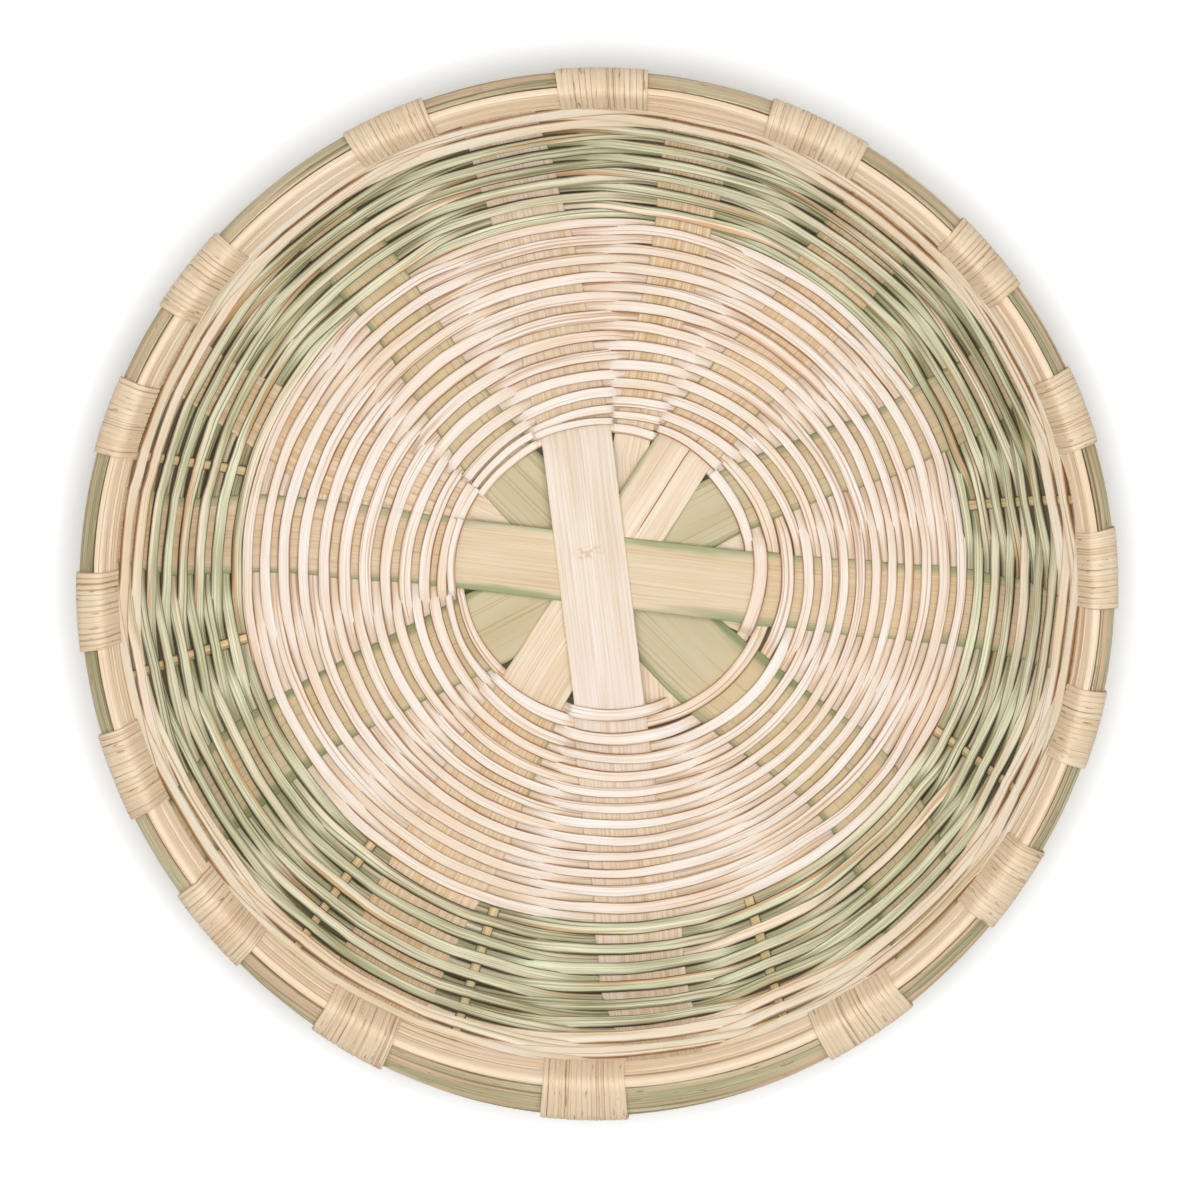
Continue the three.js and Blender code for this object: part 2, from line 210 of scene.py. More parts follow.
class Nodes:
    """Short calls for building one material's node tree."""

    def __init__(self, name):
        self.material = bpy.data.materials.new(name)
        self.material.use_nodes = True
        self.tree = self.material.node_tree
        self.shader = self.tree.nodes["Principled BSDF"]

    def link(self, source, target):
        self.tree.links.new(source, target)

    def attribute(self, name):
        node = self.tree.nodes.new("ShaderNodeAttribute")
        node.attribute_name = name
        return node.outputs["Vector"]

    def split(self, vector):
        node = self.tree.nodes.new("ShaderNodeSeparateXYZ")
        self.link(vector, node.inputs[0])
        return node.outputs

    def noise(self, vector, scale, detail, roughness=0.55, shift=0.0):
        mapping = self.tree.nodes.new("ShaderNodeMapping")
        mapping.inputs["Location"].default_value = (shift, shift, shift)
        mapping.inputs["Scale"].default_value = scale
        self.link(vector, mapping.inputs["Vector"])
        node = self.tree.nodes.new("ShaderNodeTexNoise")
        node.inputs["Scale"].default_value = 1.0
        node.inputs["Detail"].default_value = detail
        node.inputs["Roughness"].default_value = roughness
        self.link(mapping.outputs["Vector"], node.inputs["Vector"])
        return node.outputs["Fac"]

    def remap(self, value, low, high, start=0.0, end=1.0):
        node = self.tree.nodes.new("ShaderNodeMapRange")
        node.interpolation_type = "SMOOTHSTEP"
        for key, number in (("From Min", low), ("From Max", high), ("To Min", start), ("To Max", end)):
            node.inputs[key].default_value = number
        self.link(value, node.inputs["Value"])
        return node.outputs["Result"]

    def math(self, kind, first, second):
        node = self.tree.nodes.new("ShaderNodeMath")
        node.operation = kind
        for socket, value in zip(node.inputs, (first, second)):
            if isinstance(value, (int, float)):
                socket.default_value = value
            else:
                self.link(value, socket)
        return node.outputs["Value"]

    def near(self, value, centre, half):
        """1 where a value is within a half width of a centre, falling to 0 just beyond."""
        distance = self.math("ABSOLUTE", self.math("SUBTRACT", value, centre), 0.0)
        return self.remap(distance, half * 0.2, half, 1.0, 0.0)

    def mix(self, factor, first, second, kind="MIX"):
        node = self.tree.nodes.new("ShaderNodeMix")
        node.data_type = "RGBA"
        node.blend_type = kind
        sockets = [s for s in node.inputs if s.type == "RGBA"]
        for socket, value in zip(sockets, (first, second)):
            if isinstance(value, tuple):
                socket.default_value = value
            else:
                self.link(value, socket)
        self.link(factor, node.inputs["Factor"])
        return [s for s in node.outputs if s.type == "RGBA"][0]

    def bump(self, height, strength, distance):
        node = self.tree.nodes.new("ShaderNodeBump")
        node.inputs["Strength"].default_value = strength
        node.inputs["Distance"].default_value = distance
        self.link(height, node.inputs["Height"])
        self.link(node.outputs["Normal"], self.shader.inputs["Normal"])


def bamboo(name, pale, deep, second, line, edge, edge_from, edge_share, line_share, fibre,
           stain=None, fleck_share=0.0, marks=()):
    """Split bamboo: fine lengthwise fibres, long streaks of a second colour, thin dark lines.

    Colours are 8-bit screen colours. The edge colour starts at a share of the strip's half width; on
    the strands it is painted shade towards their edges, where the rows meet.
    fibre is about the number of fibres to a metre. stain is a third colour in long patches.
    fleck_share is the strength of short dark flecks. marks are dark places on one strip: along,
    across, half length, half width, strength and how much of it is broken up.
    """
    pale, deep, second, line, edge = (srgb(*colour) for colour in (pale, deep, second, line, edge))
    nodes = Nodes(name)
    grain = nodes.attribute("grain")
    along, across, _ = nodes.split(grain)
    tone, hue, rim = nodes.split(nodes.attribute("vary"))
    fine = nodes.noise(grain, (24.0, fibre, fibre), detail=3.0, roughness=0.6)
    broad = nodes.noise(grain, (9.0, fibre * 0.28, fibre * 0.28), detail=2.0, roughness=0.5, shift=11.0)
    cloud = nodes.noise(grain, (18.0, 130.0, 130.0), detail=3.0, roughness=0.55, shift=23.0)
    thin = nodes.noise(grain, (8.0, fibre * 0.7, fibre * 0.7), detail=1.0, roughness=0.4, shift=37.0)
    # tone deepens the colour from pale to deep; on strands and slats it also carries painted shade
    depth = nodes.math(
        "ADD", nodes.remap(fine, 0.3, 0.7, 0.0, 0.55), nodes.remap(tone, 0.0, 1.0, 0.0, 0.45)
    )
    colour = nodes.mix(depth, pale, deep)
    streak = nodes.math("MULTIPLY", nodes.remap(broad, 0.42, 0.66), nodes.remap(hue, 0.0, 1.0))
    colour = nodes.mix(streak, colour, second)
    if stain:
        wide = (14.0, fibre * 0.2, fibre * 0.2)
        patch = nodes.noise(grain, wide, detail=2.0, roughness=0.5, shift=51.0)
        colour = nodes.mix(nodes.remap(patch, 0.56, 0.7, 0.0, 0.75), colour, srgb(*stain))
    colour = nodes.mix(nodes.remap(cloud, 0.4, 0.75, 0.0, 0.2), colour, deep, "MULTIPLY")
    colour = nodes.mix(nodes.remap(thin, 0.58, 0.7, 0.0, line_share), colour, line)
    if fleck_share:
        fleck = nodes.noise(grain, (150.0, 900.0, 900.0), detail=2.0, roughness=0.5, shift=67.0)
        colour = nodes.mix(nodes.remap(fleck, 0.64, 0.72, 0.0, fleck_share), colour, line)
    rim_share = nodes.math("ADD", rim, nodes.remap(cloud, 0.3, 0.7, -0.12, 0.12))
    colour = nodes.mix(nodes.remap(rim_share, edge_from, 1.02, 0.0, edge_share), colour, edge)
    for mark_along, mark_across, half_length, half_width, strength, breaks in marks:
        inside = nodes.math(
            "MULTIPLY",
            nodes.near(along, mark_along, half_length),
            nodes.near(across, mark_across, half_width),
        )
        spread = nodes.noise(grain, (700.0, 500.0, 500.0), detail=2.0)
        broken = nodes.remap(spread, breaks, breaks + 0.2, 0.0, strength)
        colour = nodes.mix(nodes.math("MULTIPLY", inside, broken), colour, line)
    nodes.link(colour, nodes.shader.inputs["Base Color"])
    nodes.link(nodes.remap(cloud, 0.3, 0.7, 0.45, 0.65), nodes.shader.inputs["Roughness"])
    nodes.shader.inputs["Specular IOR Level"].default_value = 0.3
    ridges = nodes.math("ADD", fine, nodes.math("MULTIPLY", broad, 0.8))
    nodes.bump(ridges, strength=0.4, distance=0.0002)
    return nodes.material


# On the strands the edge colour is painted shade: each strand darkens towards its edges, where the rows
# meet
PALE_STRAND = bamboo(
    "pale_strand", pale=(244, 241, 238), deep=(230, 199, 160), second=(246, 231, 219),
    line=(180, 126, 72), edge=(154, 98, 42), edge_from=0.74, edge_share=0.9,
    line_share=0.6, fibre=1900.0,
)
BORDER_STRAND = bamboo(
    "border_strand", pale=(249, 246, 234), deep=(240, 211, 168), second=(251, 227, 200),
    line=(160, 108, 54), edge=(156, 104, 50), edge_from=0.74, edge_share=0.85,
    line_share=0.6, fibre=1900.0, stain=(216, 206, 160),
)
GREEN_STRAND = bamboo(
    "green_strand", pale=(243, 244, 212), deep=(128, 120, 58), second=(250, 230, 204),
    line=(84, 58, 22), edge=(60, 46, 14), edge_from=0.6, edge_share=0.94,
    line_share=0.6, fibre=1700.0, stain=(204, 150, 100),
)
PALE_SLAT = bamboo(
    "pale_slat", pale=(240, 228, 208), deep=(208, 172, 116), second=(236, 214, 190),
    line=(188, 142, 92), edge=(236, 216, 180), edge_from=0.95, edge_share=0.6,
    line_share=0.3, fibre=2000.0,
)
TOP_SLAT = bamboo(
    "top_slat", pale=(240, 231, 222), deep=(214, 184, 138), second=(239, 223, 214),
    line=(198, 152, 102), edge=(240, 224, 192), edge_from=0.95, edge_share=0.6,
    line_share=0.24, fibre=2000.0, marks=((-0.0065, 0.0008, 0.003, 0.007, 0.5, 0.42),),
)
SPLIT_SLAT = bamboo(
    "split_slat", pale=(241, 228, 209), deep=(211, 174, 120), second=(238, 213, 193),
    line=(150, 100, 52), edge=(158, 158, 110), edge_from=0.92, edge_share=0.7,
    line_share=0.16, fibre=2000.0, marks=((-0.036, -0.0014, 0.024, 0.00026, 4.0, 0.1),),
)
STRAW_SLAT = bamboo(
    "straw_slat", pale=(225, 212, 184), deep=(212, 180, 134), second=(224, 198, 174),
    line=(196, 148, 104), edge=(150, 158, 114), edge_from=0.7, edge_share=0.92,
    line_share=0.3, fibre=2000.0,
)
GREEN_SLAT = bamboo(
    "green_slat", pale=(194, 189, 156), deep=(214, 186, 142), second=(204, 184, 152),
    line=(146, 128, 82), edge=(132, 140, 96), edge_from=0.72, edge_share=0.92,
    line_share=0.4, fibre=2000.0,
)
TWIG = bamboo(
    "twig", pale=(246, 218, 172), deep=(204, 172, 120), second=(212, 202, 150),
    line=(110, 82, 48), edge=(84, 64, 32), edge_from=0.62, edge_share=0.92,
    line_share=0.4, fibre=900.0,
)
INNER_HOOP = bamboo(
    "inner_hoop", pale=(248, 234, 212), deep=(238, 208, 168), second=(247, 222, 194),
    line=(160, 108, 56), edge=(140, 94, 48), edge_from=0.8, edge_share=0.85,
    line_share=0.55, fibre=1800.0,
)
OUTER_HOOP = bamboo(
    "outer_hoop", pale=(222, 212, 176), deep=(146, 138, 92), second=(228, 196, 160),
    line=(96, 74, 42), edge=(236, 212, 170), edge_from=0.82, edge_share=0.7,
    line_share=0.6, fibre=1500.0, stain=(206, 166, 126), fleck_share=0.5,
)
BINDING = bamboo(
    "binding_cane", pale=(248, 232, 208), deep=(226, 199, 160), second=(236, 208, 174),
    line=(150, 104, 54), edge=(180, 136, 84), edge_from=0.84, edge_share=0.6,
    line_share=0.45, fibre=2800.0, fleck_share=0.6,
)


# Spokes: middle angle and share of the slat width at each station, from the crossing to the rim
TWIG_SHARE = 0.14
TWIG_HALF_THICKNESS = 0.75


def spoke(level, angles, shares, top=SLAT_TOP, half_thickness=HALF_SLAT):
    return {
        "level": level, "angles": angles, "widths": [s * SLAT_WIDTH for s in shares],
        "top": top, "half_thickness": half_thickness,
    }


def straight_spoke(level, angle, share, top=SLAT_TOP, half_thickness=HALF_SLAT):
    """A spoke with one angle and one width all along."""
    stations = len(STATION_RADII)
    return spoke(level, [angle] * stations, [share] * stations, top, half_thickness)


def thin_stake(angle, top=SLAT_TOP):
    return straight_spoke(0, angle, TWIG_SHARE, top, TWIG_HALF_THICKNESS)


RIGHT = spoke(3, [-7.5, -6.5, -5.8, -6.6], [0.97, 1.04, 1.03, 0.92])
LEFT = spoke(3, [173.5, 173.5, 174.5, 172.3], [0.92, 1.04, 1.04, 1])
BACK = spoke(4, [102.5, 102, 101.8, 102], [0.93, 0.97, 0.98, 0.96])
FRONT = spoke(4, [271, 274.4, 275.7, 278.2], [0.93, 1.09, 1.15, 0.96])
BACK_RIGHT = spoke(2, [58, 52.75, 52.6, 52.1], [0.83, 1, 1.12, 1.12])
FRONT_LEFT = spoke(2, [239.75, 242, 241.9, 241.9], [0.88, 1.3, 1.3, 1.3], SHORT_TOP)
RIGHT_BACK = spoke(1, [29.2, 25, 26.5, 29.1], [0.86, 0.9, 1, 0.7])
LEFT_FRONT = spoke(1, [207, 207.5, 208.9, 211.2], [1.04, 0.97, 1.12, 0.92])
BACK_LEFT = spoke(0, [134, 128.75, 127.2, 127.5], [0.92, 0.8, 0.92, 0.92])
FRONT_RIGHT = spoke(0, [314.5, 318.25, 316, 313.2], [1.2, 1.21, 1.3, 1.08])
HALF_BACK = spoke(2, [79.3, 77.75, 77.7, 77.5], [0.47, 0.65, 0.85, 0.85])
HALF_BACK_TAIL = straight_spoke(-1, 284, 1.1)
HALF_LEFT = spoke(-0.2, [154.5, 156.9, 153.3, 151.2], [0.42, 1.1, 0.77, 0.77])
HALF_LEFT_TAIL = straight_spoke(-0.6, -6, 1.5)
STAKES = {
    "right": thin_stake(10.5),
    "left_back": thin_stake(164, SHORT_TOP),
    "left": thin_stake(191),
    "front_left": thin_stake(230.4),
    "front": thin_stake(252.4),
    "front_right": thin_stake(293),
    "right_front": thin_stake(333.5),
}


def spoke_at(member, arc):
    """Middle angle, half width in millimetres, rise and radius of a spoke at arc lengths."""
    radius = profile(np.asarray(arc, float))[0]
    middle = np.interp(radius, STATION_RADII, member["angles"])
    half = np.interp(radius, STATION_RADII, member["widths"]) / 2
    fall = np.clip((radius - CROSSING_RADIUS) / (LEVEL_END_RADIUS - CROSSING_RADIUS), 0, 1)
    return middle, half, member["level"] * STACK_STEP * (1 - fall), radius


# Sections across a spoke, as shares of half its width and half its thickness
SLAT_SECTION = np.array([
    (-1.0, 0.35), (-0.985, 0.85), (-0.93, 1.0), (-0.5, 1.0), (0.0, 1.0), (0.5, 1.0), (0.93, 1.0),
    (0.985, 0.85), (1.0, 0.35), (1.0, -0.5), (0.95, -1.0), (0.0, -1.0), (-0.95, -1.0), (-1.0, -0.5),
])
TWIG_SIDES = 14
TWIG_SECTION = np.array([
    (math.cos(turn), math.sin(turn)) for turn in np.linspace(0, 2 * math.pi, TWIG_SIDES, endpoint=False)
])
# Order of a slat section's points when its two edges change places
MIRRORED = [8, 7, 6, 5, 4, 3, 2, 1, 0, 13, 12, 11, 10, 9]
# Rise of a slat's middle over its edges, and the share of it by which the whole slat is lowered
SLAT_CROWN = 0.18
CROWN_LOWERED = 0.6
SLAT_EDGE_CHANGE = (0.025, 34)
SLAT_TONE_CHANGE = (0.2, 160)
SLAT_HUE_CHANGE = (0.25, 240)
# Distances from the middle of the crossing between which the weave begins to cover a slat. A covered
# slat is tanner and darker: partly its less bleached colour, partly painted shade from the strands over
# it
WEAVE_COVERS = (42, 62)
BARE_TONE = 0.15
COVERED_TONE_AND_SHADE = 0.75
TWIG_COVER = 0.5
# Shift of a strip's grain in metres for each step of its seed, here and for the other strips
SLAT_GRAIN_SHIFT = 0.05
# Rings along the base, the bend and the wall, between a slat's two halves and along a tail
BASE_RINGS = 24
FOOT_RINGS = 12
WALL_RINGS = 16
MIDDLE_RINGS = 13
TAIL_RINGS = 6
TAIL_REACH = 10.0


def spoke_rings(member, arcs, section=SLAT_SECTION, seed=0):
    """Rings of a spoke, bowed a little across its width, and the place across of each point."""
    arcs = np.asarray(arcs, float)
    middle, half, rise, radius = (value[:, None] for value in spoke_at(member, arcs))
    half = half * (1 + change(SLAT_EDGE_CHANGE, arcs, seed)[:, None])
    across = section[None, :, 0]
    bow = SLAT_CROWN * (1 - across ** 2) - SLAT_CROWN * CROWN_LOWERED
    angle = middle + np.degrees(np.arcsin(across * half / radius))
    offset = rise + section[None, :, 1] * member["half_thickness"] + bow
    return place(arcs[:, None], angle, offset), across * half


def spoke_arcs(member):
    """Arc lengths of a spoke's rings, closer together where it bends."""
    stops = np.concatenate([
        np.linspace(CROSSING_ARC, 0, BASE_RINGS), np.linspace(0, FOOT_END, FOOT_RINGS)[1:],
        np.linspace(FOOT_END, SHORT_TOP, WALL_RINGS)[1:],
    ])
    if member["top"] > WALL_END:
        stops = np.concatenate([stops, [WALL_END, member["top"]]])
    return stops


def spoke_piece(name, rings, across, ring, reach, seed, hue, material, section=SLAT_SECTION):
    """A spoke's piece. One numbered ring is at a known reach from the middle of the crossing."""
    lengths = path_lengths(rings.mean(axis=1))
    along = np.repeat((lengths - lengths[ring] + reach)[:, None], rings.shape[1], axis=1)
    through = np.repeat(section[None, :, 1] * HALF_SLAT, len(rings), axis=0)
    grain = np.stack([along * MM, across * MM, through * MM + seed * SLAT_GRAIN_SHIFT], axis=-1)
    covered = smoothstep(*WEAVE_COVERS, np.abs(along)) if section is SLAT_SECTION else TWIG_COVER
    # partly painted shade: the tone deepens where the weave covers a slat, and by a fixed share on the
    # stakes
    tone = BARE_TONE + COVERED_TONE_AND_SHADE * covered + change(SLAT_TONE_CHANGE, along, seed)
    second = np.clip(hue + change(SLAT_HUE_CHANGE, along, seed + 3), 0, 1)
    rim = np.repeat(np.abs(section[None, :, 0]), len(rings), axis=0)
    vary = np.stack([tone, second, rim], axis=-1)
    add_piece(name, rings, grain, vary, material, sharp=50)


def bridge(near, far, count):
    """Evenly spaced values between two rings, without the two themselves."""
    share = np.linspace(0, 1, count + 2)[1:-1].reshape((-1,) + (1,) * near.ndim)
    return near[None] * (1 - share) + far[None] * share


def add_slat(name, near, far, seed, hue, material):
    """A slat runs down one wall, across the crossing and up the opposite wall."""
    near_rings, near_across = spoke_rings(near, spoke_arcs(near), seed=seed)
    far_rings, far_across = spoke_rings(far, spoke_arcs(far), seed=seed + 9)
    far_rings, far_across = far_rings[:, MIRRORED], -far_across[:, MIRRORED]
    rings, across = (
        np.concatenate([near_part[::-1], bridge(near_part[0], far_part[0], MIDDLE_RINGS), far_part])
        for near_part, far_part in ((near_rings, far_rings), (near_across, far_across))
    )
    middle_ring = len(near_rings) + MIDDLE_RINGS // 2
    spoke_piece(name, rings, across, middle_ring, 0, seed, hue, material)


def add_half_slat(name, member, tail, tuck, seed, hue, material):
    """A half slat has one end in the wall, and its tail passes under the crossing."""
    tail_rings, tail_across = spoke_rings(tail, [CROSSING_ARC + TAIL_REACH])
    tail_rings, tail_across = tail_rings[:, MIRRORED], -tail_across[:, MIRRORED]
    under = {**member, "level": tail["level"]}
    under_rings, under_across = spoke_rings(under, [CROSSING_ARC - tuck])
    rings, across = spoke_rings(member, spoke_arcs(member), seed=seed)
    tail_ends = ((tail_rings, under_rings, rings), (tail_across, under_across, across))
    rings, across = (
        np.concatenate([end, bridge(end[0], tucked[0], TAIL_RINGS), tucked, rest])
        for end, tucked, rest in tail_ends
    )
    first_ring = TAIL_RINGS + 2
    spoke_piece(name, rings, across, first_ring, CROSSING_RADIUS, seed, hue, material)


add_slat("cross_slat_top", BACK, FRONT, 1, 0.4, TOP_SLAT)
add_slat("cross_slat_second", RIGHT, LEFT, 2, 0.5, STRAW_SLAT)
add_slat("diagonal_slat_pale", BACK_RIGHT, FRONT_LEFT, 3, 0.3, SPLIT_SLAT)
add_slat("diagonal_slat_green", RIGHT_BACK, LEFT_FRONT, 4, 0.5, GREEN_SLAT)
add_slat("diagonal_slat_bottom", BACK_LEFT, FRONT_RIGHT, 5, 0.4, GREEN_SLAT)
add_half_slat("half_slat_back", HALF_BACK, HALF_BACK_TAIL, 8.0, 6, 0.6, PALE_SLAT)
add_half_slat("half_slat_left", HALF_LEFT, HALF_LEFT_TAIL, 5.2, 7, 0.6, PALE_SLAT)

# Weaving: each unit is the spokes that a strand passes on one side before it crosses over
BASE_UNITS = [
    [RIGHT], [RIGHT_BACK], [BACK_RIGHT], [HALF_BACK], [BACK], [BACK_LEFT],
    [HALF_LEFT, LEFT], [LEFT_FRONT], [FRONT_LEFT], [FRONT], [FRONT_RIGHT],
]
WALL_UNITS = [
    [RIGHT], [STAKES["right"]], [RIGHT_BACK], [BACK_RIGHT], [HALF_BACK], [BACK], [BACK_LEFT],
    [HALF_LEFT, STAKES["left_back"], LEFT], [STAKES["left"]], [LEFT_FRONT],
    [STAKES["front_left"], FRONT_LEFT, STAKES["front"]], [FRONT], [STAKES["front_right"]],
    [FRONT_RIGHT], [STAKES["right_front"]],
]
BASE_SPLITS = [0, 64, 134, 202, 264]
WALL_SPLITS = [0, 28, 56, 86, 110, 138, 176]
BORDER_SPLITS = [176, 208, 240]
STRAND_THICKNESS = 1.2
FIRST_ANGLE = -6.5
WEAVE_START = CROSSING_ARC + 1.2
COLOUR_CHANGE = BASE_RADIUS * 0.045
WEAVE_END = WALL_END - 2.6
BASE_ROWS = BASE_SPLITS[-1] / len(BASE_UNITS)
WALL_ROWS = BORDER_SPLITS[-1] / len(WALL_UNITS)
BASE_PITCH = 2.9
WALL_PITCH = (WEAVE_END - COLOUR_CHANGE) / WALL_ROWS
# Room between a strand and the spoke that it passes, over its face and beyond its edges
STRAND_CLEARANCE = 0.06
EDGE_MARGIN = 0.6
# A strand's rings along its length, and how far it bows away from a spoke
STRAND_STEP = 1.6
FEWEST_STEPS = 4
LEAST_ANGLE = 0.2
STRAND_BOW = 0.2
STRAND_SECTION = np.array([
    (1.0, 0.0), (0.95, 0.55), (0.78, 0.88), (0.35, 1.0), (-0.35, 1.0), (-0.78, 0.88), (-0.95, 0.55),
    (-1.0, 0.0), (-0.95, -0.55), (-0.78, -0.88), (0.0, -1.0), (0.78, -0.88), (0.95, -0.55),
])


# Turns over which the base's spiral leaves the middle and comes back, and how far off it goes
WANDER_OUT = (0.6, 4.0)
WANDER_BACK = (5.0, 21.0)
WANDER_X = 4.2
WANDER_Y = 3.2


def base_arc(turns):
    """Rows of the base: a spiral that wanders off the middle after its first rows."""
    angle = np.radians(FIRST_ANGLE + 360 * turns)
    wander = smoothstep(*WANDER_OUT, turns) * (1 - smoothstep(*WANDER_BACK, turns))
    drift = wander * (WANDER_X * np.cos(angle) - WANDER_Y * np.sin(angle))
    return WEAVE_START + (COLOUR_CHANGE - WEAVE_START) * turns / BASE_ROWS + drift


def wall_arc(turns):
    return COLOUR_CHANGE + WALL_PITCH * turns


def crossing_knots(units, crossing, arc_at):
    """Angle, offset and side at both edges of every spoke that the strand passes in one unit."""
    turn, index = divmod(crossing, len(units))
    side = 1 if crossing % 2 else -1
    knots = []
    for member in units[index]:
        near = arc_at(turn + (member["angles"][1] - FIRST_ANGLE) / 360)
        middle, half, rise, radius = (float(value) for value in spoke_at(member, near))
        reach = math.degrees(math.asin(half / radius))
        lift = member["half_thickness"] + STRAND_CLEARANCE + STRAND_THICKNESS / 2
        for angle in (middle - reach, middle + reach):
            knots.append([angle + 360 * turn, rise + side * lift, side])
    margin = math.degrees(EDGE_MARGIN / radius)
    knots[0][0] -= margin
    knots[-1][0] += margin
    return knots


def strand_path(units, first, last, arc_at):
    """Closely spaced angles and offsets of a strand, how far it is between spokes, and its side."""
    start = crossing_knots(units, first, arc_at)
    end = crossing_knots(units, last, arc_at)
    knots = [[(start[0][0] + start[1][0]) / 2, *start[0][1:]], start[-1]]
    for crossing in range(first + 1, last):
        knots.extend(crossing_knots(units, crossing, arc_at))
    knots += [end[0], [(end[0][0] + end[1][0]) / 2, *end[0][1:]]]
    angles, offsets, between, sides = [], [], [], []
    for (angle, offset, side), (next_angle, next_offset, next_side) in zip(knots, knots[1:]):
        arc = arc_at((angle - FIRST_ANGLE) / 360)
        radius = float(profile(np.asarray(arc))[0])
        length = math.radians(max(LEAST_ANGLE, next_angle - angle)) * radius
        count = max(FEWEST_STEPS, math.ceil(length / STRAND_STEP))
        share = np.arange(count) / count
        ease = share * share * (3 - 2 * share)
        swell = np.sin(math.pi * share)
        angles.append(angle + (next_angle - angle) * share)
        bow = STRAND_BOW * swell * side * (side == next_side)
        offsets.append(offset + (next_offset - offset) * ease + bow)
        between.append(swell * (side != next_side))
        sides.append(side + (next_side - side) * ease)
    return tuple(np.concatenate(column) for column in (angles, offsets, between, sides))


# Slats with two rows in a row under them, and the pull that closes up the rows beside these
SQUEEZED_AT = (RIGHT_BACK, HALF_BACK, BACK_LEFT, FRONT_RIGHT)
SQUEEZE_SIDES = (5, 14)
SQUEEZE_STARTS = (1.0, 3.5)
SQUEEZE_ENDS = (5, 16)
SQUEEZE = 1.15


def squeeze(arcs, angles):
    """How far rows close up where two in a row pass under one slat, at the edge of the base."""
    turn = ((angles - FIRST_ANGLE) % 360) / 360
    reach = arcs - COLOUR_CHANGE - (turn * WALL_PITCH - (1 - turn) * BASE_PITCH) / 2
    pull = np.zeros_like(arcs)
    for member in SQUEEZED_AT:
        away = np.abs((angles - member["angles"][1] + 180) % 360 - 180)
        pull = pull + 1 - smoothstep(*SQUEEZE_SIDES, away)
    near = smoothstep(*SQUEEZE_STARTS, np.abs(reach)) * (1 - smoothstep(*SQUEEZE_ENDS, np.abs(reach)))
    return -SQUEEZE * pull * near * np.sign(reach)


# Below the rim: rows that spread, the part of a turn over which they begin to, and what stays open
SPREAD_ROWS = 6
SPREAD_STARTS = (0, 0.05)
SPREAD_LEAVES = 0.75


def spread_to_rim(arcs, angles):
    """How far the last rows spread upwards to fill the band that the spiral leaves below the rim."""
    turn = ((angles - FIRST_ANGLE) % 360) / 360
    rows_above = (WEAVE_END - arcs) / WALL_PITCH - (1 - turn)
    band = np.maximum(0, WALL_PITCH * (1 - turn) - SPREAD_LEAVES) * smoothstep(*SPREAD_STARTS, turn)
    return band * np.clip(1 - rows_above / SPREAD_ROWS, 0, 1)


# How a strand varies along its length: sizes in millimetres, radians or shares, and wavelengths
ROW_CHANGE = (0.22, 75)
WIDTH_CHANGE = (0.07, 140)
THICKNESS_CHANGE = (0.08, 90)
TWIST_CHANGE = (math.radians(4), 60)
LONG_TONE_CHANGE = (0.3, 420)
SHORT_TONE_CHANGE = (0.14, 60)
HUE_CHANGE = (0.45, 300)
MIDDLE_TONE = 0.36
# Painted shade: how much deeper a strand's tone is where it passes under a spoke
UNDER_PAINTED_SHADE = 0.6
STRAND_GRAIN_SHIFT = 0.37
# Strands of the base are wider where its rows are further apart, within limits
SPREAD_LIMITS = (0.8, 1.3)
# On the wall a strand is wider outside the spokes, leans with the slope and sits lower there
OUTSIDE_WIDER = 0.15
STEEP_FROM = (0.2, 0.6)
OUTSIDE_LEAN = 0.3
LEAN_LOST_INSIDE = 0.08
INSIDE_FROM = (-0.2, 1.0)
OUTSIDE_LOWER = 0.65
ROLL_ROOM = 0.45


